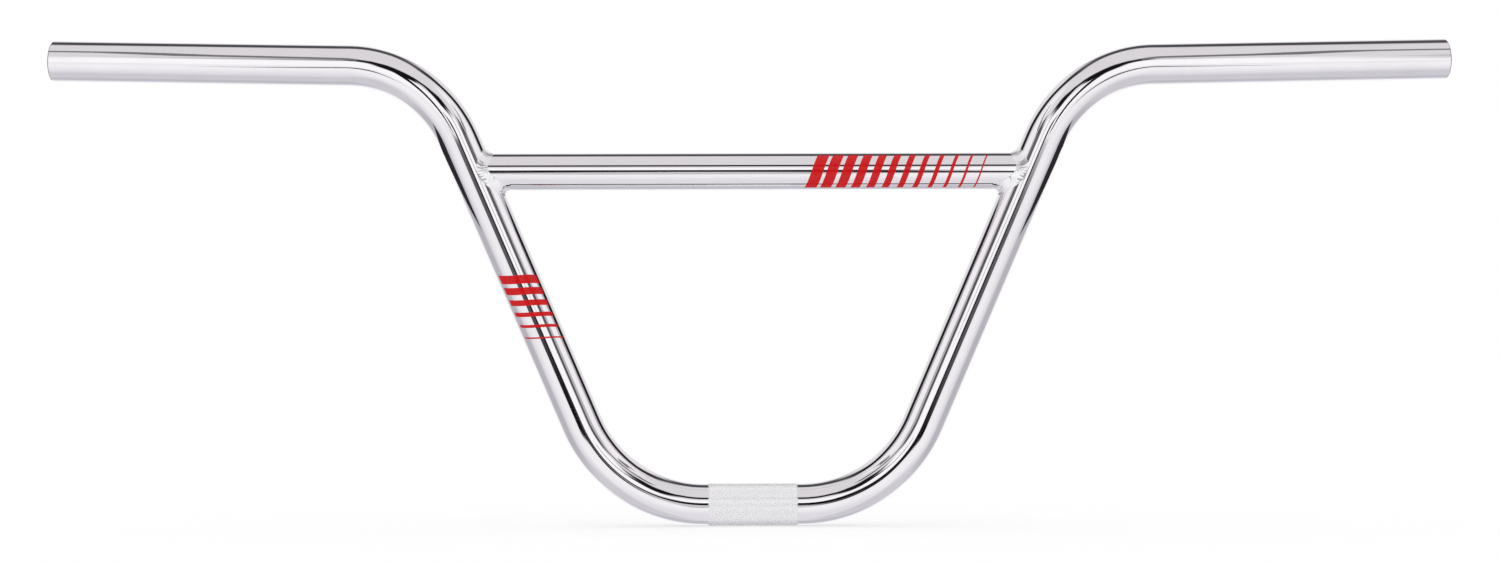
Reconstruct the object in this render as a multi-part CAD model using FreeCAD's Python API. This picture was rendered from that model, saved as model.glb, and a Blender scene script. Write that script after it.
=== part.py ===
import FreeCAD
import Part

import math
import os

# BMX handlebar: one bent main tube, a coped crossbar and the two weld beads that join them.
# Units are millimetres and degrees. The origin is the centre of the stem clamp. Seen from the front,
# +X runs along the clamp to the right, +Y points back towards the rider and +Z points up.

# Main tube
TUBE_OD = 22.2
TUBE_WALL = 1.2
BAR_WIDTH = 762.0
RISE = 241.3
BACKSWEEP = 11.0
UPSWEEP = 1.4
RISER_LEAN = 23.2
CLAMP_STRAIGHT = 52.0
LOWER_BEND_RADIUS = 72.0
UPPER_BEND_RADIUS = 67.0
END_CHAMFER = 0.5
BORE_CHAMFER = 0.4

# Knurled band under the stem
KNURL_LENGTH = 49.0
KNURL_HEIGHT = 0.3

# Crossbar
CROSSBAR_OD = 20.0
CROSSBAR_WALL = 0.9
CROSSBAR_HEIGHT = 179.4
VENT_HOLE_DIAMETER = 6.0

# Weld beads. The leg runs from the corner between the tubes to the bead's toe on each tube. The fill is
# how far the bead fills that corner, as a share of the flat face between its toes, and the crown is
# added to it. The toes and the root are sunk into the tubes, which then cut the bead to fit.
WELD_LEG = 3.8
WELD_CROWN = 0.25
WELD_FILL = 0.75
WELD_TOE_DEPTH = 0.3
WELD_ROOT_DEPTH = 1.5
WELD_SECTIONS = 24

# Lengths that differ by less are taken as the same
SAME_LENGTH = 0.001

X_AXIS = FreeCAD.Vector(1, 0, 0)
Y_AXIS = FreeCAD.Vector(0, 1, 0)
ORIGIN = FreeCAD.Vector(0, 0, 0)


def unit(vector):
    """The same direction with a length of one."""
    return vector * (1.0 / vector.Length)


def mirrored(point):
    """The same point on the other side of the bar's middle plane."""
    return FreeCAD.Vector(-point.x, point.y, point.z)


def riser_direction():
    """Direction of the right riser, from the clamp up to the grip bend."""
    lean = math.radians(RISER_LEAN)
    return FreeCAD.Vector(math.sin(lean), 0, math.cos(lean))


def grip_direction():
    """Direction of the right grip, from its bend out to the tip."""
    back, up = math.radians(BACKSWEEP), math.radians(UPSWEEP)
    return FreeCAD.Vector(math.cos(up) * math.cos(back), math.cos(up) * math.sin(back), math.sin(up))


def right_corners():
    """Corners of the right half's centreline before bending: the clamp corner, the grip corner and the tip."""
    riser, grip = riser_direction(), grip_direction()
    turn = math.radians(90.0 - RISER_LEAN)
    clamp_corner = FreeCAD.Vector(CLAMP_STRAIGHT / 2 + LOWER_BEND_RADIUS * math.tan(turn / 2), 0, 0)
    reach = BAR_WIDTH / 2 - clamp_corner.x
    span = riser.x * grip.z - riser.z * grip.x
    riser_run = (reach * grip.z - RISE * grip.x) / span
    grip_run = (RISE * riser.x - reach * riser.z) / span
    grip_corner = clamp_corner + riser * riser_run
    return clamp_corner, grip_corner, grip_corner + grip * grip_run


def round_profile(centre, normal, radius, bore=0.0):
    """A disc across the tube, with a hole of the bore's radius if one is given."""
    wires = [Part.Wire(Part.makeCircle(r, centre, normal)) for r in (radius, bore) if r > 0]
    return Part.makeFace(wires, "Part::FaceMakerBullseye")


def bent_bar(radius, bore=0.0):
    """The main tube from tip to tip: straight runs and tangent bends, as the tube bender makes them."""
    clamp_corner, grip_corner, tip = right_corners()
    corners = [mirrored(p) for p in (tip, grip_corner, clamp_corner)] + [clamp_corner, grip_corner, tip]
    bend_radii = [UPPER_BEND_RADIUS, LOWER_BEND_RADIUS, LOWER_BEND_RADIUS, UPPER_BEND_RADIUS]
    start = corners[0]
    profile = round_profile(start, unit(corners[1] - start), radius, bore)
    pieces = []
    for before, corner, after, bend_radius in zip(corners, corners[1:], corners[2:], bend_radii):
        way_in, way_out = unit(corner - before), unit(after - corner)
        turn = way_in.getAngle(way_out)
        bend_start = corner - way_in * (bend_radius * math.tan(turn / 2))
        pieces.append(profile.extrude(bend_start - start))
        profile = profile.translated(bend_start - start)
        axis = unit(way_in.cross(way_out))
        centre = bend_start + axis.cross(way_in) * bend_radius
        pieces.append(profile.revolve(centre, axis, math.degrees(turn)))
        profile = profile.rotated(centre, axis, math.degrees(turn))
        start = corner + way_out * (bend_radius * math.tan(turn / 2))
    pieces.append(profile.extrude(corners[-1] - start))
    return pieces[0].multiFuse(pieces[1:]).removeSplitter()


def crossbar_rod(radius):
    """A solid rod on the crossbar's axis, from one riser's centreline to the other's."""
    half = joint_centre().x
    return Part.makeCylinder(radius, 2 * half, FreeCAD.Vector(-half, 0, CROSSBAR_HEIGHT), X_AXIS)


def joint_centre():
    """Where the crossbar's axis meets the right riser's axis."""
    clamp_corner = right_corners()[0]
    riser = riser_direction()
    return clamp_corner + riser * (CROSSBAR_HEIGHT / riser.z)


def knurl_band():
    """The raised band that the knurling rolls up in the middle of the clamp, with sloping ends."""
    root, crest = TUBE_OD / 2 - TUBE_WALL / 2, TUBE_OD / 2 + KNURL_HEIGHT
    half, top_half = KNURL_LENGTH / 2, KNURL_LENGTH / 2 - KNURL_HEIGHT
    outline = [(-half, root), (-half, TUBE_OD / 2), (-top_half, crest)]
    outline += [(-x, r) for x, r in reversed(outline)]
    points = [FreeCAD.Vector(x, 0, r) for x, r in outline]
    return Part.Face(Part.makePolygon(points + points[:1])).revolve(ORIGIN, X_AXIS, 360)


def end_edges(shape, radius):
    """The round edges of one radius at the two tips of the main tube."""
    tip = right_corners()[2]
    centres = (tip, mirrored(tip))
    return [
        e
        for e in shape.Edges
        if isinstance(e.Curve, Part.Circle)
        and abs(e.Curve.Radius - radius) < SAME_LENGTH
        and any((e.Curve.Center - c).Length < SAME_LENGTH for c in centres)
    ]


def main_bar():
    """The bent tube with its knurled band, dressed ends and the vent holes that open into the crossbar."""
    outer, bore = TUBE_OD / 2, TUBE_OD / 2 - TUBE_WALL
    bar = bent_bar(outer, bore).fuse(knurl_band()).removeSplitter()
    bar = bar.cut(crossbar_rod(VENT_HOLE_DIAMETER / 2))
    bar = bar.makeChamfer(END_CHAMFER, end_edges(bar, outer))
    return bar.makeChamfer(BORE_CHAMFER, end_edges(bar, bore))


def crossbar(rod):
    """The crossbar tube, with both ends coped to sit on the risers."""
    tube = crossbar_rod(CROSSBAR_OD / 2).cut(crossbar_rod(CROSSBAR_OD / 2 - CROSSBAR_WALL))
    return tube.cut(rod)


def weld_section(angle):
    """One section through the right weld, at an angle about the crossbar's axis from its top."""
    riser = riser_direction()
    across = FreeCAD.Vector(riser.z, 0, -riser.x)
    joint = joint_centre()
    tube, bar = TUBE_OD / 2, CROSSBAR_OD / 2
    bar_normal = FreeCAD.Vector(0, math.sin(angle), math.cos(angle))
    offset = bar_normal * bar
    depth = -math.sqrt(tube**2 - offset.y**2)
    corner = joint + offset + X_AXIS * ((depth - offset.dot(across)) / across.x)
    tube_normal = (across * depth + Y_AXIS * offset.y) * (1.0 / tube)
    along = unit(bar_normal.cross(tube_normal))
    on_bar = bar_normal.cross(along)
    on_bar = on_bar * (-math.copysign(1.0, on_bar.x))
    on_tube = tube_normal.cross(along)
    on_tube = on_tube * math.copysign(1.0, on_tube.dot(bar_normal))
    outward = unit(bar_normal + tube_normal)
    opening = on_bar.getAngle(on_tube)
    throat = WELD_FILL * WELD_LEG * math.cos(opening / 2) + WELD_CROWN
    bar_toe = sunk(corner + on_bar * WELD_LEG, joint, X_AXIS, bar)
    tube_toe = sunk(corner + on_tube * WELD_LEG, joint, riser, tube)
    face = Part.Arc(bar_toe, corner + outward * throat, tube_toe).toShape()
    root = corner - outward * WELD_ROOT_DEPTH
    return Part.Wire([face, Part.makeLine(tube_toe, root), Part.makeLine(root, bar_toe)])


def sunk(point, origin, axis, radius):
    """A point moved to just under the surface of a round tube."""
    foot = origin + axis * (point - origin).dot(axis)
    return foot + unit(point - foot) * (radius - WELD_TOE_DEPTH)


def right_weld(rod):
    """The weld bead around the right end of the crossbar, lying on both tubes."""
    step = 2 * math.pi / WELD_SECTIONS
    sections = [weld_section(step * i) for i in range(WELD_SECTIONS)]
    bead = Part.makeLoft(sections, True, False, True)
    return bead.cut(rod).cut(crossbar_rod(CROSSBAR_OD / 2))


def main():
    """Builds every piece and writes it to its own STEP file."""
    os.makedirs("parts", exist_ok=True)
    rod = bent_bar(TUBE_OD / 2)
    weld = right_weld(rod)
    pieces = {
        "main_bar": main_bar(),
        "crossbar": crossbar(rod),
        "weld_beads": Part.Compound([weld, weld.mirror(ORIGIN, X_AXIS)]),
    }
    for name, shape in pieces.items():
        shape.exportStep(os.path.join("parts", name + ".step"))
        print(name, "solids:", len(shape.Solids), "mm3:", round(shape.Volume, 1), "valid:", shape.isValid())


if __name__ == "__main__":
    main()
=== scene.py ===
"""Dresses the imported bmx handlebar: chromed tubes, knurling, weld beads, printed bars and a plain studio."""

import logging
import math
from dataclasses import dataclass, field
from enum import Enum
from typing import Any

import bpy
from mathutils import Matrix, Vector, noise


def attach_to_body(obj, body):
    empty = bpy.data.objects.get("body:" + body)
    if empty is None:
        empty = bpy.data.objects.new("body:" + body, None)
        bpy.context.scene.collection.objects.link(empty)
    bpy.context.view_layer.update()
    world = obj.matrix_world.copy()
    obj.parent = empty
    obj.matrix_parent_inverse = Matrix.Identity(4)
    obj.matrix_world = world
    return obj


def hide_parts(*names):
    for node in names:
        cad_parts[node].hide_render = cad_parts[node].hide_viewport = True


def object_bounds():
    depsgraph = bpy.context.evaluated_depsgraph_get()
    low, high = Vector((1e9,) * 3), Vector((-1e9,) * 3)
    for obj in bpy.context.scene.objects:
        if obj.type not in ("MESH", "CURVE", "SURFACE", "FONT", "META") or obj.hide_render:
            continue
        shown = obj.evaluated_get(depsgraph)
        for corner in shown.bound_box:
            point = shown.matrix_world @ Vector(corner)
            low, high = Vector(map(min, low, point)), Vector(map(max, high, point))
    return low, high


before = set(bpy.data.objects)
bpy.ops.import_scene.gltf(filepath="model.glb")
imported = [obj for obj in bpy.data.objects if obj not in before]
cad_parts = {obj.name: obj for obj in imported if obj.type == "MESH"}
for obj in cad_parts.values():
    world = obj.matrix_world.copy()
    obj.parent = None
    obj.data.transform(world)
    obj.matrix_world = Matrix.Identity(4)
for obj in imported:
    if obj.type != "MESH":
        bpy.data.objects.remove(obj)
SOLID_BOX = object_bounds()

LOG = logging.getLogger("handlebar")
MM = 0.001
BODY = "root"
FLOOR = SOLID_BOX[0].z

# Middle of the crossbar's print, to the right of the bar's own, and height of the riser's above the clamp
CROSSBAR_PRINT = 79.0 * MM
RISER_PRINT = 106.0 * MM

# Angle above which the edge of a tube's mouth is chamfered
RIM_ANGLE = math.radians(50.0)

# How far in front of the clamp the boards and the lamp's stand are, in millimetres
NEAR_BOARDS = 400
FAR_LAMP = 2000

# Inputs and output of a mix node that carry colours
MIX_FIRST, MIX_SECOND, MIX_RESULT = 6, 7, 2

# Kinds of node that recur
MATH = "ShaderNodeMath"
JOIN_XYZ = "ShaderNodeCombineXYZ"
SPLIT_XYZ = "ShaderNodeSeparateXYZ"


class Side(Enum):
    """The two halves of the bar, as a sign along X."""

    LEFT = -1.0
    RIGHT = 1.0


class Slot(Enum):
    """The record's finishes."""

    CHROME = "chrome"
    WELD = "weld_chrome"


def linear(hex_colour: str) -> tuple[float, float, float, float]:
    """Turns a colour as seen on a screen into light.

    Args:
        hex_colour: an sRGB colour such as "#E4E4E8".

    Returns:
        Its linear red, green and blue, with an alpha of one.
    """
    parts = [int(hex_colour[i : i + 2], 16) / 255 for i in (1, 3, 5)]
    light = [c / 12.92 if c <= 0.04045 else ((c + 0.055) / 1.055) ** 2.4 for c in parts]
    return (*light, 1.0)


def add_node(tree: Any, kind: str, feeds: dict[Any, Any] | list[Any] | None = None, **settings: Any) -> Any:
    """Adds a node to a tree, with its settings and what feeds its inputs.

    Args:
        tree: the node tree.
        kind: the node's type.
        feeds: what goes into each input, by the inputs' names or as a list in their order: a plain value,
            an output, or a node whose first output is meant.
        settings: the node's own properties.

    Returns:
        The new node.
    """
    node = tree.nodes.new(kind)
    for name, value in settings.items():
        setattr(node, name, value)
    by_input = feeds if isinstance(feeds, dict) else dict(enumerate(feeds or []))
    for key, value in by_input.items():
        source = value.outputs[0] if isinstance(value, bpy.types.Node) else value
        if isinstance(source, bpy.types.NodeSocket):
            tree.links.new(source, node.inputs[key])
        else:
            node.inputs[key].default_value = source
    return node


def new_material(name: str) -> tuple[bpy.types.Material, Any]:
    """Makes an empty node material.

    Args:
        name: the material's name.

    Returns:
        The material and its node tree.
    """
    material = bpy.data.materials.new(name)
    material.use_nodes = True
    material.node_tree.nodes.clear()
    return material, material.node_tree


def new_tree(name: str, inputs: dict[str, str]) -> tuple[Any, Any]:
    """Makes a geometry tree with named inputs.

    Args:
        name: the tree's name.
        inputs: each input's label and its kind, such as Float, Int or Material.

    Returns:
        The tree and the outputs of its group input.
    """
    tree = bpy.data.node_groups.new(name, "GeometryNodeTree")
    tree.interface.new_socket("Geometry", in_out="OUTPUT", socket_type="NodeSocketGeometry")
    for label, kind in {"Geometry": "Geometry", **inputs}.items():
        tree.interface.new_socket(label, in_out="INPUT", socket_type=f"NodeSocket{kind}")
    return tree, add_node(tree, "NodeGroupInput").outputs


def roll(tree: Any, geometry: Any, radius: Any, depth: Any) -> Any:
    """Rolls flat work round a tube along X: its Y goes round the tube from the top, and its Z outwards.

    Args:
        tree: the geometry tree.
        geometry: the node that holds the flat work.
        radius: the output that holds the tube's radius.
        depth: the output that says how far the flat work's ground lies inside the tube.

    Returns:
        The node that holds the rolled work.
    """
    place = add_node(tree, "GeometryNodeInputPosition")
    flat = add_node(tree, SPLIT_XYZ, [place]).outputs
    ground = add_node(tree, MATH, [radius, depth], operation="SUBTRACT")
    out = add_node(tree, MATH, [ground, flat["Z"]], operation="ADD")
    angle = add_node(tree, MATH, [flat["Y"], radius], operation="DIVIDE")
    sine = add_node(tree, MATH, [angle], operation="SINE")
    cosine = add_node(tree, MATH, [angle], operation="COSINE")
    side = add_node(tree, MATH, [out, sine], operation="MULTIPLY")
    up = add_node(tree, MATH, [out, cosine], operation="MULTIPLY")
    round_tube = add_node(tree, JOIN_XYZ, [flat["X"], side, up])
    return add_node(tree, "GeometryNodeSetPosition", {"Geometry": geometry, "Position": round_tube})


def draw_tube(tree: Any, path: Any, sides: Any, radius: Any) -> Any:
    """Draws a smooth round tube's skin along a path.

    Args:
        tree: the geometry tree.
        path: the node that holds the path.
        sides: the output that holds the number of facets round the tube.
        radius: the output that holds the tube's radius.

    Returns:
        The node that holds the skin.
    """
    circle = add_node(tree, "GeometryNodeCurvePrimitiveCircle", {"Resolution": sides, "Radius": radius})
    skin = add_node(tree, "GeometryNodeCurveToMesh", {"Curve": path, "Profile Curve": circle})
    return add_node(tree, "GeometryNodeSetShadeSmooth", {"Geometry": skin})


def close_tree(tree: Any, geometry: Any, finish: Any) -> None:
    """Ends a geometry tree: instances made real, and dressed in a finish.

    Args:
        tree: the tree.
        geometry: the node that holds the finished shape.
        finish: the output that holds the material.
    """
    real = add_node(tree, "GeometryNodeRealizeInstances", {"Geometry": geometry})
    dressed = add_node(tree, "GeometryNodeSetMaterial", {"Geometry": real, "Material": finish})
    add_node(tree, "NodeGroupOutput", {"Geometry": dressed})


def new_object(name: str, mesh: bpy.types.Mesh) -> bpy.types.Object:
    """Makes an object at the origin that shows a mesh.

    Args:
        name: the object's name.
        mesh: the mesh.

    Returns:
        The object, linked into the scene.
    """
    thing = bpy.data.objects.new(name, mesh)
    bpy.context.scene.collection.objects.link(thing)
    return thing


def grow(thing: bpy.types.Object, tree: Any, sizes: dict[str, Any]) -> None:
    """Puts a geometry tree on an object and sets its inputs.

    Args:
        thing: the object.
        tree: the tree.
        sizes: the value of each named input.
    """
    modifier = thing.modifiers.new(tree.name, "NODES")
    modifier.node_group = tree
    for socket in tree.interface.items_tree:
        if socket.in_out == "INPUT" and socket.name in sizes:
            modifier[socket.identifier] = sizes[socket.name]


def settle(thing: bpy.types.Object) -> None:
    """Turns an object and its modifiers into a plain mesh.

    Args:
        thing: the object.
    """
    graph = bpy.context.evaluated_depsgraph_get()
    mesh = bpy.data.meshes.new_from_object(thing.evaluated_get(graph))
    thing.modifiers.clear()
    thing.data = mesh
    mesh.name = thing.name


def attach(thing: bpy.types.Object, slot: Slot | None = None, *nodes: str) -> None:
    """Makes a piece ride on the bar, and reports it.

    Args:
        thing: the finished piece.
        slot: the record's finish that it takes, if it is one of those; not used.
        nodes: the solids that it stands for.
    """
    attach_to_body(thing, BODY)
    if nodes:
        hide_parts(*nodes)
    LOG.info("%s: %d faces", thing.name, len(thing.data.polygons))


@dataclass(frozen=True)
class ChromePlate:
    """Bright chrome plated over worked steel.

    The plate is a near mirror, so the eye sees the studio in it. The polishing wheel leaves faint waves that
    bend those reflections, and cloudy patches where the buffing was less even.

    Attributes:
        name: the material's name.
        colour: what the plate reflects where it is cleanest.
        dull: what it reflects where the buffing left haze.
        metallic: share of the light that is mirrored. A satin plate scatters the rest.
        roughness: from the cleanest patches to the haziest.
        haze_size: width of the hazy patches.
        haze_detail: how finely they are broken up.
        haze_range: the stretch of the haze over which the roughness goes from least to most.
        wave_size: length of the waves.
        wave_detail: how finely they are broken up.
        wave_height: height of the waves.
    """

    name: str
    colour: str = "#FCFCFD"
    dull: str = "#F5F5F6"
    metallic: float = 1.0
    roughness: tuple[float, float] = (0.03, 0.06)
    haze_size: float = 18.0 * MM
    haze_detail: float = 4.0
    haze_range: tuple[float, float] = (0.35, 0.7)
    wave_size: float = 30.0 * MM
    wave_detail: float = 1.0
    wave_height: float = 0.02 * MM

    def material(self) -> bpy.types.Material:
        """Builds the material from its sizes.

        Returns:
            The material.
        """
        material, tree = new_material(self.name)
        place = add_node(tree, "ShaderNodeTexCoord").outputs["Object"]
        haze, waves = (
            add_node(tree, "ShaderNodeTexNoise", {"Vector": place, "Scale": 1 / size, "Detail": detail})
            for size, detail in ((self.haze_size, self.haze_detail), (self.wave_size, self.wave_detail))
        )
        bump = add_node(tree, "ShaderNodeBump", {"Height": waves, "Distance": self.wave_height})
        least, most = self.haze_range
        low, high = self.roughness
        rough = add_node(
            tree,
            "ShaderNodeMapRange",
            {"Value": haze, "From Min": least, "From Max": most, "To Min": low, "To Max": high},
        )
        tint = add_node(tree, "ShaderNodeValToRGB", [haze])
        for stop, colour in zip(tint.color_ramp.elements, (self.colour, self.dull)):
            stop.color = linear(colour)
        shader = add_node(
            tree,
            "ShaderNodeBsdfPrincipled",
            {"Base Color": tint, "Metallic": self.metallic, "Roughness": rough, "Normal": bump},
        )
        add_node(tree, "ShaderNodeOutputMaterial", {"Surface": shader})
        return material


# Buffed before plating, so it mirrors cleanly
TUBE_CHROME = ChromePlate("bright_chrome_on_polished_tube")

# The rolled teeth can't be buffed, so the band looks frosted and nearly white
KNURL_CHROME = ChromePlate(
    "bright_chrome_on_rolled_knurl",
    metallic=0.4,
    roughness=(0.22, 0.3),
    haze_size=3.0 * MM,
    wave_size=2.0 * MM,
    wave_height=0.01 * MM,
)

# Dark chrome on the tips' outer chamfer: a painted dark reflection, which reads as a thin dark line
PAINTED_DARK_RIM = ChromePlate(
    "dark_chrome_painted_reflection_on_rim",
    colour="#1E1C1F",
    dull="#141215",
    roughness=(0.2, 0.4),
    haze_size=2.0 * MM,
    wave_size=0.8 * MM,
    wave_height=0.01 * MM,
)

# Little plate reaches into the tube, so its inside is a dull grey
BORE_CHROME = ChromePlate(
    "thin_dull_chrome_in_drawn_bore",
    colour="#A29F9C",
    dull="#7C7976",
    metallic=0.4,
    roughness=(0.4, 0.6),
    haze_size=6.0 * MM,
    wave_size=3.0 * MM,
)

# The bead is plated as it was laid, so its ripples break the reflections up
WELD_CHROME = ChromePlate(
    "bright_chrome_on_weld_metal",
    metallic=0.7,
    roughness=(0.1, 0.2),
    haze_size=4.0 * MM,
    wave_size=1.6 * MM,
    wave_height=0.02 * MM,
)


@dataclass(frozen=True)
class PrintedInk:
    """Ink screen-printed on the chrome under a clear lacquer.

    The ink hides the chrome, and its coverage mottles a little. The lacquer lays a sharp gloss over it.

    Attributes:
        name: the material's name.
        full: colour where the ink is thick.
        thin: colour where the screen left less.
        mottle: width of the mottling.
        mottle_detail: how finely it is broken up.
        roughness: of the ink.
        sheen: of the ink itself, which is low where lacquer covers it.
        lacquer: share of the ink that the lacquer covers.
        lacquer_roughness: of the lacquer.
    """

    name: str = "screen_printed_red_ink_under_lacquer"
    full: str = "#DA1418"
    thin: str = "#B60E13"
    mottle: float = 2.5 * MM
    mottle_detail: float = 3.0
    roughness: float = 0.35
    sheen: float = 0.05
    lacquer: float = 0.4
    lacquer_roughness: float = 0.03

    def material(self) -> bpy.types.Material:
        """Builds the material from its sizes.

        Returns:
            The material.
        """
        material, tree = new_material(self.name)
        place = add_node(tree, "ShaderNodeTexCoord").outputs["Object"]
        cover = add_node(
            tree,
            "ShaderNodeTexNoise",
            {"Vector": place, "Scale": 1 / self.mottle, "Detail": self.mottle_detail},
        )
        tint = add_node(tree, "ShaderNodeValToRGB", [cover])
        for stop, colour in zip(tint.color_ramp.elements, (self.thin, self.full)):
            stop.color = linear(colour)
        shader = add_node(
            tree,
            "ShaderNodeBsdfPrincipled",
            {
                "Base Color": tint,
                "Roughness": self.roughness,
                "Specular IOR Level": self.sheen,
                "Coat Weight": self.lacquer,
                "Coat Roughness": self.lacquer_roughness,
            },
        )
        add_node(tree, "ShaderNodeOutputMaterial", {"Surface": shader})
        return material


@dataclass(frozen=True)
class BarLine:
    """Centreline of the bar, from the sizes that the tube bender works to.

    Attributes:
        width: between the centres of the two tips.
        rise: from the clamp's axis up to the tips.
        backsweep: turn of the grips towards the rider.
        upsweep: lift of the grips.
        riser_lean: lean of the risers from upright.
        clamp_straight: length of the straight run under the stem.
        lower_bend: radius of the bends beside the clamp.
        upper_bend: radius of the bends below the grips.
        crossbar_height: from the clamp's axis up to the crossbar's.
        tube_radius: outside of the main tube.
        crossbar_radius: outside of the crossbar.
    """

    width: float = 762.0 * MM
    rise: float = 241.3 * MM
    backsweep: float = math.radians(11.0)
    upsweep: float = math.radians(1.4)
    riser_lean: float = math.radians(23.2)
    clamp_straight: float = 52.0 * MM
    lower_bend: float = 72.0 * MM
    upper_bend: float = 67.0 * MM
    crossbar_height: float = 179.4 * MM
    tube_radius: float = 11.1 * MM
    crossbar_radius: float = 10.0 * MM

    @property
    def riser(self) -> Vector:
        """Direction of the right riser, upwards."""
        return Vector((math.sin(self.riser_lean), 0, math.cos(self.riser_lean)))

    @property
    def grip(self) -> Vector:
        """Direction of the right grip, outwards."""
        level = Vector((math.cos(self.backsweep), math.sin(self.backsweep), 0))
        return level * math.cos(self.upsweep) + Vector((0, 0, math.sin(self.upsweep)))

    @property
    def clamp_corner(self) -> Vector:
        """Where the right riser's axis meets the clamp's."""
        half_turn = (math.pi / 2 - self.riser_lean) / 2
        return Vector((self.clamp_straight / 2 + self.lower_bend * math.tan(half_turn), 0, 0))

    @property
    def joint(self) -> Vector:
        """Where the crossbar's axis meets the right riser's."""
        return self.on_riser(Side.RIGHT, self.crossbar_height)

    def on_riser(self, side: Side, height: float) -> Vector:
        """Finds the place on a riser's axis at a height above the clamp's axis."""
        right = self.clamp_corner + self.riser * (height / self.riser.z)
        return Vector((right.x * side.value, right.y, right.z))

    def corners(self) -> list[tuple[Vector, float]]:
        """Finds the corners of the whole centreline before bending.

        Returns:
            Each corner from the left tip to the right tip, with the radius that it is bent to.
        """
        riser, grip, corner = self.riser, self.grip, self.clamp_corner
        reach = self.width / 2 - corner.x
        span = riser.x * grip.z - riser.z * grip.x
        grip_corner = corner + riser * ((reach * grip.z - self.rise * grip.x) / span)
        tip = grip_corner + grip * ((self.rise * riser.x - reach * riser.z) / span)
        right = [(corner, self.lower_bend), (grip_corner, self.upper_bend), (tip, 0.0)]
        left = [(Vector((-p.x, p.y, p.z)), radius) for p, radius in reversed(right)]
        return left + right


@dataclass
class MainTube:
    """The bent tube, from tip to tip, with its wall and its dressed ends.

    Attributes:
        line: the bar's centreline.
        wall: thickness of the tube.
        end_chamfer: edge that the tips are dressed to.
        sides: facets round the tube.
        ring_spacing: distance between rings of facets along the tube.
        bend_steps: points that round each corner of the centreline.
        crease: angle above which an edge is kept sharp.
        bore_reach: how far the bore's own finish goes in from the tips.
        facing: least share of a normal that counts as facing that way.
    """

    line: BarLine
    wall: float = 1.2 * MM
    end_chamfer: float = 0.5 * MM
    sides: int = 96
    ring_spacing: float = 3.0 * MM
    bend_steps: int = 64
    crease: float = math.radians(40.0)
    bore_reach: float = 150.0 * MM
    facing: float = 0.5

    BEND_RADIUS = "bend_radius"

    def tree(self) -> Any:
        """Builds the tree that bends a centreline and draws a tube along it.

        Returns:
            The tree. Its start is a chain of corners, each with its bend radius.
        """
        inputs = {"Tube Radius": "Float", "Sides": "Int", "Ring Spacing": "Float", "Bend Steps": "Int"}
        tree, given = new_tree("bent_tube", {**inputs, "Finish": "Material"})
        radius = add_node(
            tree, "GeometryNodeInputNamedAttribute", {"Name": self.BEND_RADIUS}, data_type="FLOAT"
        )
        chain = add_node(tree, "GeometryNodeMeshToCurve", {"Mesh": given["Geometry"]})
        bent = add_node(
            tree,
            "GeometryNodeFilletCurve",
            {"Curve": chain, "Count": given["Bend Steps"], "Radius": radius.outputs["Attribute"]},
            mode="POLY",
        )
        rings = add_node(
            tree,
            "GeometryNodeResampleCurve",
            {"Curve": bent, "Length": given["Ring Spacing"]},
            mode="LENGTH",
        )
        close_tree(tree, draw_tube(tree, rings, given["Sides"], given["Tube Radius"]), given["Finish"])
        return tree

    def chain(self) -> bpy.types.Mesh:
        """Makes the centreline's corners as a chain of edges.

        Returns:
            The chain, with the radius of each bend.
        """
        corners = self.line.corners()
        mesh = bpy.data.meshes.new("bar_corners")
        links = [(i, i + 1) for i in range(len(corners) - 1)]
        mesh.from_pydata([p for p, _ in corners], links, [])
        radius = mesh.attributes.new(self.BEND_RADIUS, "FLOAT", "POINT")
        radius.data.foreach_set("value", [r for _, r in corners])
        return mesh

    def dress_ends(self, tube: bpy.types.Object, rim: bpy.types.Material, bore: bpy.types.Material) -> None:
        """Gives the outer chamfer of the sawn ends a dark chrome that paints in a dark reflection, and the
        bore behind them its own finish.

        Args:
            tube: the finished tube.
            rim: finish of the chamfer, dark with a painted reflection.
            bore: finish of the bore.
        """
        finishes = tube.data.materials
        rim_slot, bore_slot = len(finishes), len(finishes) + 1
        finishes.append(rim)
        finishes.append(bore)
        corners = [p for p, _ in self.line.corners()]
        for tip, bend in ((corners[0], corners[1]), (corners[-1], corners[-2])):
            axis = (tip - bend).normalized()
            for face in tube.data.polygons:
                arm = face.center - tip
                if arm.length > self.bore_reach:
                    continue
                outward = (arm - axis * arm.dot(axis)).normalized()
                along, out = face.normal.dot(axis), face.normal.dot(outward)
                # The outer chamfer takes the dark chrome, whose colour is a painted dark reflection
                if min(along, out) > self.facing:
                    face.material_index = rim_slot
                elif along < self.facing and out < -self.facing:
                    face.material_index = bore_slot

    def build(self, finish: bpy.types.Material, rim: bpy.types.Material, bore: bpy.types.Material) -> None:
        """Makes the tube and dresses it.

        Args:
            finish: the chrome.
            rim: finish of the sawn ends' outer chamfer, dark with a painted reflection.
            bore: finish of the bore.
        """
        tube = new_object("main_tube", self.chain())
        sizes = {
            "Tube Radius": self.line.tube_radius,
            "Sides": self.sides,
            "Ring Spacing": self.ring_spacing,
            "Bend Steps": self.bend_steps,
            "Finish": finish,
        }
        grow(tube, self.tree(), sizes)
        give_wall(tube, self.wall, self.end_chamfer)
        settle(tube)
        tube.data.set_sharp_from_angle(angle=self.crease)
        self.dress_ends(tube, rim, bore)
        attach(tube, Slot.CHROME, "main_bar")


def give_wall(tube: bpy.types.Object, wall: float, chamfer: float) -> None:
    """Gives an open tube its wall, inwards, and chamfers the rims.

    Args:
        tube: the tube's outer skin.
        wall: the wall's thickness.
        chamfer: width of the rims' flat chamfers.
    """
    solid = tube.modifiers.new("wall", "SOLIDIFY")
    solid.thickness = wall
    solid.offset = -1.0
    rim = tube.modifiers.new("rim", "BEVEL")
    rim.width = chamfer
    rim.limit_method = "ANGLE"
    rim.angle_limit = RIM_ANGLE


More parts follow.
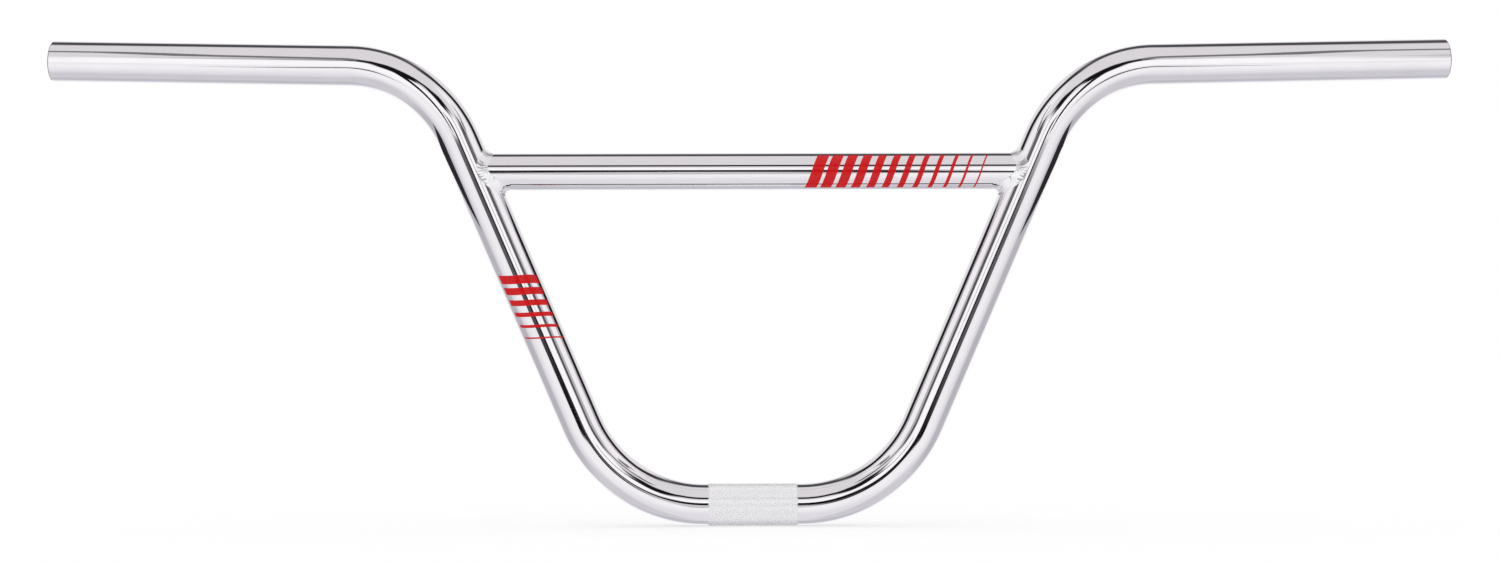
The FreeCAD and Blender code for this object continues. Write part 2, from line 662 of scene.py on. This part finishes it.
@dataclass
class Crossbar:
    """The straight tube between the risers, coped at both ends to sit on them.

    Attributes:
        line: the bar's centreline.
        wall: thickness of the tube.
        rim_chamfer: how far the coped edges are broken.
        sides: facets round the tube.
        rings: rings of facets along it.
        crease: angle above which an edge is kept sharp.
    """

    line: BarLine
    wall: float = 0.9 * MM
    rim_chamfer: float = 0.1 * MM
    sides: int = 96
    rings: int = 60
    crease: float = math.radians(40.0)

    def tree(self) -> Any:
        """Builds the tree that draws a tube of unit half length and stretches it to each riser's saddle.

        Returns:
            The tree.
        """
        labels = ("Tube Radius", "Height", "Riser Radius", "Riser Foot", "Riser Lean")
        tree, given = new_tree(
            "coped_tube",
            {**dict.fromkeys(labels, "Float"), "Sides": "Int", "Rings": "Int", "Finish": "Material"},
        )
        lean, foot = given["Riser Lean"], given["Riser Foot"]
        line = add_node(tree, "GeometryNodeCurvePrimitiveLine", {"Start": (-1, 0, 0), "End": (1, 0, 0)})
        rings = add_node(tree, "GeometryNodeResampleCurve", {"Curve": line, "Count": given["Rings"]})
        skin = draw_tube(tree, rings, given["Sides"], given["Tube Radius"])
        place = add_node(tree, "GeometryNodeInputPosition")
        share = add_node(tree, SPLIT_XYZ, [place]).outputs
        height = add_node(tree, MATH, [share["Z"], given["Height"]], operation="ADD")
        square = add_node(tree, MATH, [given["Riser Radius"], 2.0], operation="POWER")
        aside = add_node(tree, MATH, [share["Y"], share["Y"]], operation="MULTIPLY")
        left = add_node(tree, MATH, [square, aside], operation="SUBTRACT")
        depth = add_node(tree, MATH, [left], operation="SQRT")
        slope = add_node(tree, MATH, [lean], operation="TANGENT")
        cosine = add_node(tree, MATH, [lean], operation="COSINE")
        skew = add_node(tree, MATH, [depth, cosine], operation="DIVIDE")
        axis = add_node(tree, MATH, [height, slope, foot], operation="MULTIPLY_ADD")
        reach = add_node(tree, MATH, [axis, skew], operation="SUBTRACT")
        along = add_node(tree, MATH, [share["X"], reach], operation="MULTIPLY")
        moved = add_node(tree, JOIN_XYZ, [along, share["Y"], height])
        coped = add_node(tree, "GeometryNodeSetPosition", {"Geometry": skin, "Position": moved})
        close_tree(tree, coped, given["Finish"])
        return tree

    def build(self, finish: bpy.types.Material) -> None:
        """Makes the crossbar and dresses it.

        Args:
            finish: the chrome.
        """
        tube = new_object("crossbar_tube", bpy.data.meshes.new("crossbar_start"))
        sizes = {
            "Tube Radius": self.line.crossbar_radius,
            "Height": self.line.crossbar_height,
            "Riser Radius": self.line.tube_radius,
            "Riser Foot": self.line.clamp_corner.x,
            "Riser Lean": self.line.riser_lean,
            "Sides": self.sides,
            "Rings": self.rings,
            "Finish": finish,
        }
        grow(tube, self.tree(), sizes)
        give_wall(tube, self.wall, self.rim_chamfer)
        settle(tube)
        tube.data.set_sharp_from_angle(angle=self.crease)
        attach(tube, Slot.CHROME, "crossbar")


@dataclass
class KnurlBand:
    """The diamond knurling that the stem grips, rolled into the middle of the clamp.

    Attributes:
        line: the bar's centreline.
        length: of the band along the clamp.
        height: of the teeth above the tube.
        rows: teeth along the band.
        count: teeth round the tube in a row.
        tooth_sides: slopes of one tooth.
        flat: width of a tooth's flat top, as a share of its pitch.
        lap: width of a tooth's base, as a share of its pitch, so that the teeth run into each other.
        root_depth: how far the teeth are sunk into the tube.
    """

    line: BarLine
    length: float = 48.4 * MM
    height: float = 0.16 * MM
    rows: int = 33
    count: int = 48
    tooth_sides: int = 4
    flat: float = 0.6
    lap: float = 1.06
    root_depth: float = 0.02 * MM

    def tree(self) -> Any:
        """Builds the tree that lays the teeth out flat in two staggered grids and rolls them round the tube.

        Returns:
            The tree.
        """
        floats = ("Tube Radius", "Height", "Flat", "Lap", "Root Depth", "Row Pitch", "Tooth Pitch")
        ints = ("Rows", "Count", "Tooth Sides")
        tree, given = new_tree(
            "rolled_knurl",
            {**dict.fromkeys(floats, "Float"), **dict.fromkeys(ints, "Int"), "Finish": "Material"},
        )
        row_pitch, pitch = given["Row Pitch"], given["Tooth Pitch"]
        full = add_node(tree, MATH, [given["Height"], given["Root Depth"]], operation="ADD")
        tooth = add_node(
            tree,
            "GeometryNodeMeshCone",
            {
                "Vertices": given["Tooth Sides"],
                "Radius Top": given["Flat"],
                "Radius Bottom": given["Lap"],
                "Depth": full,
            },
        )
        half_row = add_node(tree, MATH, [row_pitch, 0.5], operation="MULTIPLY")
        half_tooth = add_node(tree, MATH, [pitch, 0.5], operation="MULTIPLY")
        base = add_node(tree, JOIN_XYZ, [half_row, half_tooth, 1.0])
        round_gaps = add_node(tree, MATH, [given["Count"], 1.0], operation="SUBTRACT")
        girth = add_node(tree, MATH, [round_gaps, pitch], operation="MULTIPLY")
        both = add_node(tree, "GeometryNodeJoinGeometry")
        # The second grid is a row shorter and half a tooth further round, so it fills the gaps of the first
        for shift, fewer in ((0.0, 1.0), (0.5, 2.0)):
            gaps = add_node(tree, MATH, [given["Rows"], fewer], operation="SUBTRACT")
            points = add_node(tree, MATH, [gaps, 1.0], operation="ADD")
            spread = add_node(tree, MATH, [gaps, row_pitch], operation="MULTIPLY")
            grid = add_node(
                tree,
                "GeometryNodeMeshGrid",
                {"Size X": spread, "Size Y": girth, "Vertices X": points, "Vertices Y": given["Count"]},
            )
            aside = add_node(tree, MATH, [pitch, shift], operation="MULTIPLY")
            offset = add_node(tree, JOIN_XYZ, {"Y": aside})
            laid = add_node(tree, "GeometryNodeSetPosition", {"Geometry": grid, "Offset": offset})
            row = add_node(
                tree, "GeometryNodeInstanceOnPoints", {"Points": laid, "Instance": tooth, "Scale": base}
            )
            tree.links.new(row.outputs[0], both.inputs[0])
        flat = add_node(tree, "GeometryNodeRealizeInstances", {"Geometry": both})
        rolled = roll(tree, flat, given["Tube Radius"], given["Root Depth"])
        crisp = add_node(tree, "GeometryNodeSetShadeSmooth", {"Geometry": rolled, "Shade Smooth": False})
        close_tree(tree, crisp, given["Finish"])
        return tree

    def build(self, finish: bpy.types.Material) -> None:
        """Makes the band and dresses it.

        Args:
            finish: the chrome.
        """
        band = new_object("knurl_band", bpy.data.meshes.new("knurl_start"))
        sizes = {
            "Tube Radius": self.line.tube_radius,
            "Height": self.height,
            "Flat": self.flat,
            "Lap": self.lap,
            "Root Depth": self.root_depth,
            "Row Pitch": self.length / self.rows,
            "Tooth Pitch": 2 * math.pi * self.line.tube_radius / self.count,
            "Rows": self.rows,
            "Count": self.count,
            "Tooth Sides": self.tooth_sides,
            "Finish": finish,
        }
        grow(band, self.tree(), sizes)
        settle(band)
        attach(band, Slot.CHROME)


@dataclass
class WeldBeads:
    """The two weld beads between the crossbar and the risers, laid in overlapping ripples.

    Attributes:
        line: the bar's centreline.
        leg: from the corner between the tubes to the bead's toe on each.
        crown: how far the bead bulges beyond its fill.
        fill: how far the bead fills the corner, as a share of the flat face between its toes.
        toe_depth: how far the toes are sunk into the tubes.
        root_depth: how far the bead's root lies under the corner.
        ripples: ripples round one bead.
        ripple_height: from the valley between two ripples to their tops.
        lean: how far a ripple's top leans back towards the one before, where 1 is not at all.
        bow: how far the middle of a ripple runs ahead of its ends, in ripples.
        uneven: how much the bead's width wanders.
        wander: length of that wandering, in parts of a turn.
        steps: facets along one ripple.
        across: facets across the bead.
        seed: sets the unevenness of the one bead apart from the other's.
    """

    line: BarLine
    leg: float = 3.8 * MM
    crown: float = 0.1 * MM
    fill: float = 0.65
    toe_depth: float = 0.1 * MM
    root_depth: float = 1.5 * MM
    ripples: int = 44
    ripple_height: float = 0.06 * MM
    lean: float = 0.7
    bow: float = 0.9
    uneven: float = 0.4 * MM
    wander: float = 0.08
    steps: int = 10
    across: int = 12
    seed: float = 7.0

    def section(self, angle: float, seed: float) -> list[Vector]:
        """Finds one section through the right bead.

        Args:
            angle: round the crossbar's axis, from its top.
            seed: shifts the bead's unevenness, so that no two beads are alike.

        Returns:
            Points from the toe on the crossbar over the face to the toe on the riser, then the root.
        """
        line = self.line
        riser, joint = line.riser, line.joint
        inward = Vector((riser.z, 0, -riser.x))
        bar_normal = Vector((0, math.sin(angle), math.cos(angle)))
        offset = bar_normal * line.crossbar_radius
        depth = -math.sqrt(line.tube_radius**2 - offset.y**2)
        corner = joint + offset + Vector(((depth - offset.dot(inward)) / inward.x, 0, 0))
        tube_normal = (inward * depth + Vector((0, offset.y, 0))) / line.tube_radius
        along = bar_normal.cross(tube_normal).normalized()
        on_bar = bar_normal.cross(along)
        on_bar *= -math.copysign(1.0, on_bar.x)
        on_tube = tube_normal.cross(along)
        on_tube *= math.copysign(1.0, on_tube.dot(bar_normal))
        outward = (bar_normal + tube_normal).normalized()
        legs = [self.leg + self.uneven * self.drift(angle, seed + i) for i in range(2)]
        opening = on_bar.angle(on_tube)
        throat = self.fill * self.leg * math.cos(opening / 2) + self.crown
        bar_toe, tube_toe = line.crossbar_radius - self.toe_depth, line.tube_radius - self.toe_depth
        start = sunk(corner + on_bar * legs[0], joint, Vector((1, 0, 0)), bar_toe)
        end = sunk(corner + on_tube * legs[1], joint, riser, tube_toe)
        pull = (corner + outward * throat) * 2 - (start + end) / 2
        points = []
        for i in range(self.across + 1):
            t = i / self.across
            face = start * (1 - t) ** 2 + pull * (2 * t * (1 - t)) + end * t**2
            points.append(face + outward * self.ripple(angle, t, seed))
        points.append(corner - outward * self.root_depth)
        return points

    def drift(self, angle: float, seed: float) -> float:
        """Finds how far the bead wanders at an angle, from minus one to one, without a seam."""
        reach = 1 / (2 * math.pi * self.wander)
        return noise.noise(Vector((math.cos(angle) * reach, math.sin(angle) * reach, seed)))

    def ripple(self, angle: float, across: float, seed: float) -> float:
        """Finds the height of the ripples above the smooth bead.

        Args:
            angle: round the crossbar's axis, from its top.
            across: from 0 at the toe on the crossbar to 1 at the toe on the riser.
            seed: as for the section.

        Returns:
            The height, which is nothing at the toes.
        """
        inner = 4 * across * (1 - across)
        count = self.ripples * angle / (2 * math.pi) + self.bow * inner + self.drift(angle, seed)
        wave = -math.cos(2 * math.pi * (count % 1.0) ** self.lean) / 2
        return self.ripple_height * wave * min(1.0, 2 * inner)

    def mesh(self) -> bpy.types.Mesh:
        """Makes both beads as one mesh.

        Returns:
            The mesh.
        """
        points: list[Vector] = []
        faces: list[tuple[int, ...]] = []
        turns = self.ripples * self.steps
        wide = self.across + 2
        for side in Side:
            first = len(points)
            for i in range(turns):
                for p in self.section(2 * math.pi * i / turns, self.seed * side.value):
                    points.append(Vector((p.x * side.value, p.y, p.z)))
            for i in range(turns):
                for j in range(wide):
                    here, after = first + i * wide, first + (i + 1) % turns * wide
                    ring = (here + j, after + j, after + (j + 1) % wide, here + (j + 1) % wide)
                    faces.append(ring if side is Side.LEFT else ring[::-1])
        mesh = bpy.data.meshes.new("weld_beads")
        mesh.from_pydata(points, [], faces)
        mesh.shade_smooth()
        return mesh

    def build(self, finish: bpy.types.Material) -> None:
        """Makes the beads and dresses them.

        Args:
            finish: the chrome.
        """
        beads = new_object("weld_bead_pair", self.mesh())
        beads.data.materials.append(finish)
        attach(beads, Slot.WELD, "weld_beads")


def sunk(point: Vector, origin: Vector, axis: Vector, radius: float) -> Vector:
    """Moves a point onto a cylinder.

    Args:
        point: the point.
        origin: a point on the cylinder's axis.
        axis: the axis's direction.
        radius: the cylinder's radius.

    Returns:
        The nearest point at that radius.
    """
    foot = origin + axis * (point - origin).dot(axis)
    return foot + (point - foot).normalized() * radius


@dataclass
class PrintedBars:
    """A row of plain slanted bars, printed round the front of a tube, that thin out along it.

    Attributes:
        name: the piece's name.
        tube_radius: outside of the tube that they are printed on.
        centre: the middle of the row, on the tube's axis.
        tilt: how far the tube's axis leans up from level, to the right.
        length: of the row along the tube.
        girth: of each bar round the tube.
        slant: how far a bar runs along the tube for each length that it goes round.
        count: bars in the row.
        widths: of the first bar and of the last, along the tube.
        thickness: of the ink.
        depth: how far the ink's ground is sunk, so that no gap shows.
        steps: facets round a bar.
    """

    name: str
    tube_radius: float
    centre: Vector
    tilt: float = 0.0
    length: float = 88.0 * MM
    girth: float = 21.0 * MM
    slant: float = 0.35
    count: int = 12
    widths: tuple[float, float] = (6.4 * MM, 0.9 * MM)
    thickness: float = 0.05 * MM
    depth: float = 0.02 * MM
    steps: int = 32

    def tree(self) -> Any:
        """Builds the tree that lays the bars out flat, slants them and rolls them round the tube.

        Returns:
            The tree.
        """
        floats = ("Tube Radius", "Length", "Girth", "Slant", "First", "Last", "Thickness", "Depth", "Front")
        ints = ("Count", "Steps")
        tree, given = new_tree(
            "printed_bars",
            {
                **dict.fromkeys(floats, "Float"),
                **dict.fromkeys(ints, "Int"),
                "Tilt": "Rotation",
                "Centre": "Vector",
                "Finish": "Material",
            },
        )
        gaps = add_node(tree, MATH, [given["Count"], 1.0], operation="SUBTRACT")
        pitch = add_node(tree, MATH, [given["Length"], gaps], operation="DIVIDE")
        half = add_node(tree, MATH, [given["Length"], -0.5], operation="MULTIPLY")
        start = add_node(tree, JOIN_XYZ, {"X": half})
        step = add_node(tree, JOIN_XYZ, {"X": pitch})
        row = add_node(
            tree, "GeometryNodeMeshLine", {"Count": given["Count"], "Start Location": start, "Offset": step}
        )
        index = add_node(tree, "GeometryNodeInputIndex")
        width = add_node(
            tree,
            "ShaderNodeMapRange",
            {"Value": index, "From Max": gaps, "To Min": given["First"], "To Max": given["Last"]},
        )
        size = add_node(tree, JOIN_XYZ, [width, given["Girth"], given["Thickness"]])
        slab = add_node(tree, "GeometryNodeMeshCube", {"Vertices Y": given["Steps"]})
        bars = add_node(
            tree, "GeometryNodeInstanceOnPoints", {"Points": row, "Instance": slab, "Scale": size}
        )
        flat = add_node(tree, "GeometryNodeRealizeInstances", {"Geometry": bars})
        place = add_node(tree, "GeometryNodeInputPosition")
        share = add_node(tree, SPLIT_XYZ, [place]).outputs
        aside = add_node(tree, MATH, [share["Y"], given["Slant"]], operation="MULTIPLY")
        lift = add_node(tree, MATH, [given["Thickness"], 0.5], operation="MULTIPLY")
        shift = add_node(tree, JOIN_XYZ, [aside, given["Front"], lift])
        slanted = add_node(tree, "GeometryNodeSetPosition", {"Geometry": flat, "Offset": shift})
        rolled = roll(tree, slanted, given["Tube Radius"], given["Depth"])
        placed = add_node(
            tree,
            "GeometryNodeTransform",
            {"Geometry": rolled, "Rotation": given["Tilt"], "Translation": given["Centre"]},
        )
        close_tree(tree, placed, given["Finish"])
        return tree

    def build(self, finish: bpy.types.Material) -> None:
        """Makes the bars and dresses them.

        Args:
            finish: the ink.
        """
        bars = new_object(self.name, bpy.data.meshes.new(self.name + "_start"))
        sizes = {
            "Tube Radius": self.tube_radius,
            "Length": self.length,
            "Girth": self.girth,
            "Slant": self.slant,
            "First": self.widths[0],
            "Last": self.widths[1],
            "Thickness": self.thickness,
            "Depth": self.depth,
            "Front": -self.tube_radius * math.pi / 2,
            "Count": self.count,
            "Steps": self.steps,
            "Tilt": (0.0, -self.tilt, 0.0),
            "Centre": self.centre,
            "Finish": finish,
        }
        grow(bars, self.tree(), sizes)
        settle(bars)
        attach(bars)


@dataclass(frozen=True)
class Patch:
    """One part of the studio that the chrome mirrors.

    Attributes:
        name: what it is.
        colour: what it looks like in a mirror.
        turn: from and to, in degrees round from the camera's side of the object, the same to either hand.
        climb: from and to, in degrees up from level.
        soft: width of its blurred edge, in degrees.
        lean: how far it climbs for each degree that it goes round.
    """

    name: str
    colour: str
    turn: tuple[float, float]
    climb: tuple[float, float]
    soft: float = 6.0
    lean: float = 0.0


@dataclass(frozen=True)
class Flag:
    """A dark thing so near that each place on the bar mirrors it differently.

    Attributes:
        name: what it is.
        colour: what it looks like in a mirror.
        corners: of its flat outline on the right, in millimetres.
        one_sided: whether it shows only on the side from which its corners run anticlockwise.
    """

    name: str
    colour: str
    corners: list[tuple[float, float, float]]
    one_sided: bool = False


def upright(depth: float, *outline: tuple[float, float]) -> list[tuple[float, float, float]]:
    """Stands an outline, given as distances from the bar's middle plane and heights, in front of the bar."""
    return [(aside, -depth, height) for aside, height in outline]


@dataclass
class Studio:
    """A white paper sweep under soft light, with the camera in front.

    Attributes:
        floor_level: height of the paper.
        floor_size: width of the paper.
        paper: colours of the paper, from one end of its mottle to the other.
        mottle: width of the paper's mottle.
        paper_glow: share of the paper that the camera sees as plain white, so that its shadow is faint.
        ceiling: what the chrome mirrors where no patch is named.
        patches: what else it mirrors, each over the ones before.
        flags: dark things near the bar.
        sun_strength: strength of the one lamp.
        sun_angle: width of that lamp, which softens its shadow.
        sun_tilt: the lamp's lean from straight above, towards the camera and to the left.
        distance: from the clamp to the camera.
        eye_height: of the camera above the clamp's axis.
        aside: how far the camera stands to the left of its own aim.
        yaw: how far the camera is turned to the right of straight on.
        roll: how far the camera leans.
        lens: focal length for a sensor of sensor_width.
        sensor_width: width of the sensor.
    """

    floor_level: float
    floor_size: float = 12.0
    paper: tuple[str, str] = ("#FAFAFB", "#FDFDFD")
    mottle: float = 40.0 * MM
    paper_glow: float = 0.5
    ceiling: str = "#DEDADD"
    patches: list[Patch] = field(default_factory=list)
    flags: list[Flag] = field(default_factory=list)
    sun_strength: float = 0.15
    sun_angle: float = math.radians(60.0)
    sun_tilt: tuple[float, float] = (math.radians(-25.0), math.radians(-15.0))
    distance: float = 2600.0 * MM
    eye_height: float = 119.95 * MM
    aside: float = 1.25 * MM
    yaw: float = 0.0146
    roll: float = 0.0024
    lens: float = 115.71
    sensor_width: float = 36.0

    def floor_material(self) -> bpy.types.Material:
        """Builds the paper: matt and white, with a faint mottle from its pulp.

        Returns:
            The material.
        """
        material, tree = new_material("matt_white_background_paper")
        place = add_node(tree, "ShaderNodeTexCoord").outputs["Object"]
        pulp = add_node(tree, "ShaderNodeTexNoise", {"Vector": place, "Scale": 1 / self.mottle})
        tint = add_node(tree, "ShaderNodeValToRGB", [pulp])
        for stop, colour in zip(tint.color_ramp.elements, self.paper):
            stop.color = linear(colour)
        sheet = add_node(tree, "ShaderNodeBsdfDiffuse", {"Color": tint})
        glow = add_node(tree, "ShaderNodeEmission", {"Color": linear("#FFFFFF")})
        seen = add_node(tree, "ShaderNodeLightPath").outputs["Is Camera Ray"]
        share = add_node(tree, MATH, [seen, self.paper_glow], operation="MULTIPLY")
        both = add_node(tree, "ShaderNodeMixShader", [share, sheet, glow])
        add_node(tree, "ShaderNodeOutputMaterial", {"Surface": both})
        return material

    def floor(self) -> None:
        """Lays the paper under the bar. The chrome mirrors the world's paper in its place."""
        half = self.floor_size / 2
        corners = [(-half, -half), (half, -half), (half, half), (-half, half)]
        mesh = bpy.data.meshes.new("paper_floor")
        mesh.from_pydata([(x, y, self.floor_level) for x, y in corners], [], [(0, 1, 2, 3)])
        mesh.materials.append(self.floor_material())
        sheet = new_object("paper_floor", mesh)
        sheet.visible_glossy = False

    def dark_things(self) -> None:
        """Sets up the flags on both sides. Only the chrome's reflections show them."""
        for flag in self.flags:
            material, tree = new_material("matt_black_" + flag.name)
            shown = add_node(tree, "ShaderNodeEmission", {"Color": linear(flag.colour)})
            if flag.one_sided:
                back = add_node(tree, "ShaderNodeNewGeometry").outputs["Backfacing"]
                clear = add_node(tree, "ShaderNodeBsdfTransparent")
                shown = add_node(tree, "ShaderNodeMixShader", [back, shown, clear])
            add_node(tree, "ShaderNodeOutputMaterial", {"Surface": shown})
            for side in Side:
                mesh = bpy.data.meshes.new(f"{flag.name}_{side.name.lower()}")
                corners = [(x * side.value * MM, y * MM, z * MM) for x, y, z in flag.corners]
                if side is Side.LEFT:
                    corners.reverse()
                mesh.from_pydata(corners, [], [range(len(corners))])
                mesh.materials.append(material)
                board = new_object(mesh.name, mesh)
                board.visible_camera = False
                board.visible_diffuse = False
                board.visible_shadow = False

    def world(self) -> None:
        """Surrounds the bar with plain white light, and with the studio's patches where it is mirrored."""
        world = bpy.data.worlds.new("studio")
        world.use_nodes = True
        tree = world.node_tree
        tree.nodes.clear()
        way = add_node(tree, "ShaderNodeTexCoord").outputs["Generated"]
        share = add_node(tree, SPLIT_XYZ, [way]).outputs
        front = add_node(tree, MATH, [share["Y"], -1.0], operation="MULTIPLY")
        round_about = add_node(tree, MATH, [share["X"], front], operation="ARCTAN2")
        either = add_node(tree, MATH, [round_about], operation="ABSOLUTE")
        turn = add_node(tree, MATH, [either], operation="DEGREES")
        slant = add_node(tree, MATH, [share["Z"]], operation="ARCSINE")
        climb = add_node(tree, MATH, [slant], operation="DEGREES")
        colour: Any = linear(self.ceiling)
        for patch in self.patches:
            mask: Any = 1.0
            rise = add_node(tree, MATH, [turn, -patch.lean, climb], operation="MULTIPLY_ADD")
            for angle, ends in ((turn, patch.turn), (rise, patch.climb)):
                for end, inside in zip(ends, (1.0, -1.0)):
                    half_edge = inside * patch.soft / 2
                    ramp = add_node(
                        tree,
                        "ShaderNodeMapRange",
                        {"Value": angle, "From Min": end - half_edge, "From Max": end + half_edge},
                        interpolation_type="SMOOTHSTEP",
                    )
                    mask = add_node(tree, MATH, [mask, ramp], operation="MULTIPLY")
            laid = add_node(
                tree,
                "ShaderNodeMix",
                {"Factor": mask, MIX_FIRST: colour, MIX_SECOND: linear(patch.colour)},
                data_type="RGBA",
            )
            colour = laid.outputs[MIX_RESULT]
        mirrored = add_node(tree, "ShaderNodeBackground", {"Color": colour})
        plain = add_node(tree, "ShaderNodeBackground", {"Color": linear("#FFFFFF")})
        glossy = add_node(tree, "ShaderNodeLightPath").outputs["Is Glossy Ray"]
        both = add_node(tree, "ShaderNodeMixShader", [glossy, plain, mirrored])
        add_node(tree, "ShaderNodeOutputWorld", {"Surface": both})
        bpy.context.scene.world = world

    def sun(self) -> None:
        """Hangs one broad soft lamp above, for the shadow."""
        lamp = bpy.data.lights.new("broad_soft_lamp", "SUN")
        lamp.energy = self.sun_strength
        lamp.angle = self.sun_angle
        holder = bpy.data.objects.new("broad_soft_lamp", lamp)
        holder.rotation_euler = (*self.sun_tilt, 0.0)
        holder.visible_glossy = False
        bpy.context.scene.collection.objects.link(holder)

    def camera(self) -> None:
        """Sets the camera where the photograph was taken from."""
        eye = bpy.data.cameras.new("front_camera")
        eye.lens = self.lens
        eye.sensor_width = self.sensor_width
        ahead = Vector((math.sin(self.yaw), math.cos(self.yaw), 0))
        right = Vector((math.cos(self.yaw), -math.sin(self.yaw), 0))
        up = Vector((0, 0, 1))
        across = right * math.cos(self.roll) - up * math.sin(self.roll)
        above = up * math.cos(self.roll) + right * math.sin(self.roll)
        turned = Matrix((across, above, -ahead)).transposed().to_4x4()
        spot = up * self.eye_height - ahead * self.distance - right * self.aside
        holder = bpy.data.objects.new("front_camera", eye)
        holder.matrix_world = Matrix.Translation(spot) @ turned
        bpy.context.scene.collection.objects.link(holder)
        bpy.context.scene.camera = holder

    def build(self) -> None:
        """Sets up the whole studio."""
        bpy.context.scene.view_settings.view_transform = "Standard"
        self.floor()
        self.dark_things()
        self.world()
        self.sun()
        self.camera()


# The studio as the chrome mirrors it, from the paper and the backdrop to the lamps and the camera
STUDIO_PATCHES = [
    Patch("paper", "#E3E0E6", (-200, 400), (-200, -3), 6.0),
    Patch("lit paper in front", "#F8F5F8", (-40, 56), (-40, -3), 40.0),
    Patch("paper's dim sides", "#BAB7BE", (80, 134), (-46, -6), 24.0),
    Patch("paper under the grips", "#D0CDD4", (50, 134), (-84, -40), 24.0),
    Patch("lit paper behind", "#FFFEFF", (142, 400), (-36, 2), 16.0),
    Patch("paper close behind", "#C2C0C8", (134, 400), (-78, -46), 16.0),
    Patch("backdrop", "#E6E3E6", (130, 400), (-3, 48), 10.0),
    Patch("dark above the backdrop", "#4A484C", (103, 400), (48, 66), 9.0),
    Patch("dark behind the backdrop", "#4A484C", (160, 400), (36, 66), 9.0),
    Patch("dark beside the backdrop", "#161417", (101, 128), (12, 60), 12.0),
    Patch("dark beside the paper", "#2A282C", (95, 140), (-7, 13), 4.0),
    Patch("side lamp", "#F6F2F6", (52, 90), (5, 54), 14.0),
    Patch("side lamp's frame", "#B4B0B4", (44, 56), (6, 28), 8.0),
    Patch("dark over the front lamp", "#141216", (9, 28), (20, 38), 6.0),
    Patch("front lamp", "#FFFDFF", (-40, 33), (-4, 25), 6.0),
    Patch("front lamp's holder", "#141216", (8, 19), (20, 40), 4.0),
    Patch("front lamp's top edge", "#141216", (-40, 12), (32, 42), 4.0),
    Patch("dark beside the front lamp", "#5C585C", (32, 44), (4, 24), 6.0),
    Patch("camera stand", "#0C0A0C", (1, 8), (-9, 0), 3.0),
    Patch("camera stand's pale leg", "#58565A", (2, 20), (-3, 3.4), 2.0, -0.42),
    Patch("camera stand's dark leg", "#0C0A0C", (2, 20), (-3, 0), 2.0, -0.42),
    Patch("pale front of the stand", "#CAC6CA", (-40, 2), (-17, -4), 2.0),
    Patch("camera", "#0C0A0C", (-40, 3.2), (-2, 10), 2.0),
]

# The dark things round the bar, the same on either side
STUDIO_FLAGS = [
    Flag(
        "floor_beside_the_paper",
        "#2C282C",
        [(545, -20, FLOOR / MM), (800, 20, FLOOR / MM), (800, 1100, FLOOR / MM)],
    ),
    Flag("lamp_stand", "#141216", upright(FAR_LAMP, (430, 360), (500, 360), (500, 1050), (430, 1050))),
    Flag(
        "board_over_the_grip",
        "#78767A",
        upright(
            NEAR_BOARDS,
            (385, 475),
            (457, 548),
            (572, 635),
            (690, 890),
            (860, 900),
            (860, 1180),
            (740, 1180),
            (572, 800),
            (457, 660),
            (385, 590),
        ),
    ),
    Flag(
        "lamp_bracket",
        "#141216",
        upright(NEAR_BOARDS, (168, 440), (235, 400), (300, 400), (262, 525), (168, 525)),
    ),
    Flag(
        "lamp_upright",
        "#1C1A1E",
        upright(NEAR_BOARDS, (228, 195), (262, 195), (290, 400), (235, 400)),
    ),
    Flag(
        "rail_beside_the_grip",
        "#3A383C",
        upright(
            NEAR_BOARDS, (400, 138), (440, 114), (480, 95), (545, 86), (480, 116), (440, 147), (400, 174)
        ),
    ),
    Flag(
        "shade_under_the_crossbar",
        "#1C1A1E",
        [(0, -10.7, 152.6), (131, -10.7, 152.6), (131, -8.0, 152.6), (0, -8.0, 152.6)],
        one_sided=True,
    ),
]


def printed_rows(line: BarLine) -> list[PrintedBars]:
    """Lays out the rows of printed bars.

    Args:
        line: the bar's centreline.

    Returns:
        The row on the crossbar and the shorter one on the left riser.
    """
    on_crossbar = Vector((CROSSBAR_PRINT, 0, line.crossbar_height))
    return [
        PrintedBars("crossbar_print", line.crossbar_radius, on_crossbar),
        PrintedBars(
            "riser_print",
            line.tube_radius,
            line.on_riser(Side.LEFT, RISER_PRINT),
            tilt=line.riser_lean - math.pi / 2,
            length=34.0 * MM,
            girth=22.0 * MM,
            count=6,
            widths=(5.0 * MM, 0.9 * MM),
        ),
    ]


def main() -> None:
    """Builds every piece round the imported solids, and the studio."""
    logging.basicConfig(level=logging.INFO, format="%(name)s: %(message)s")
    line = BarLine()
    tube_chrome = TUBE_CHROME.material()
    MainTube(line).build(tube_chrome, PAINTED_DARK_RIM.material(), BORE_CHROME.material())
    Crossbar(line).build(tube_chrome)
    KnurlBand(line).build(KNURL_CHROME.material())
    WeldBeads(line).build(WELD_CHROME.material())
    ink = PrintedInk().material()
    for row in printed_rows(line):
        row.build(ink)
    Studio(floor_level=FLOOR, patches=STUDIO_PATCHES, flags=STUDIO_FLAGS).build()


if __name__ == "__main__":
    main()
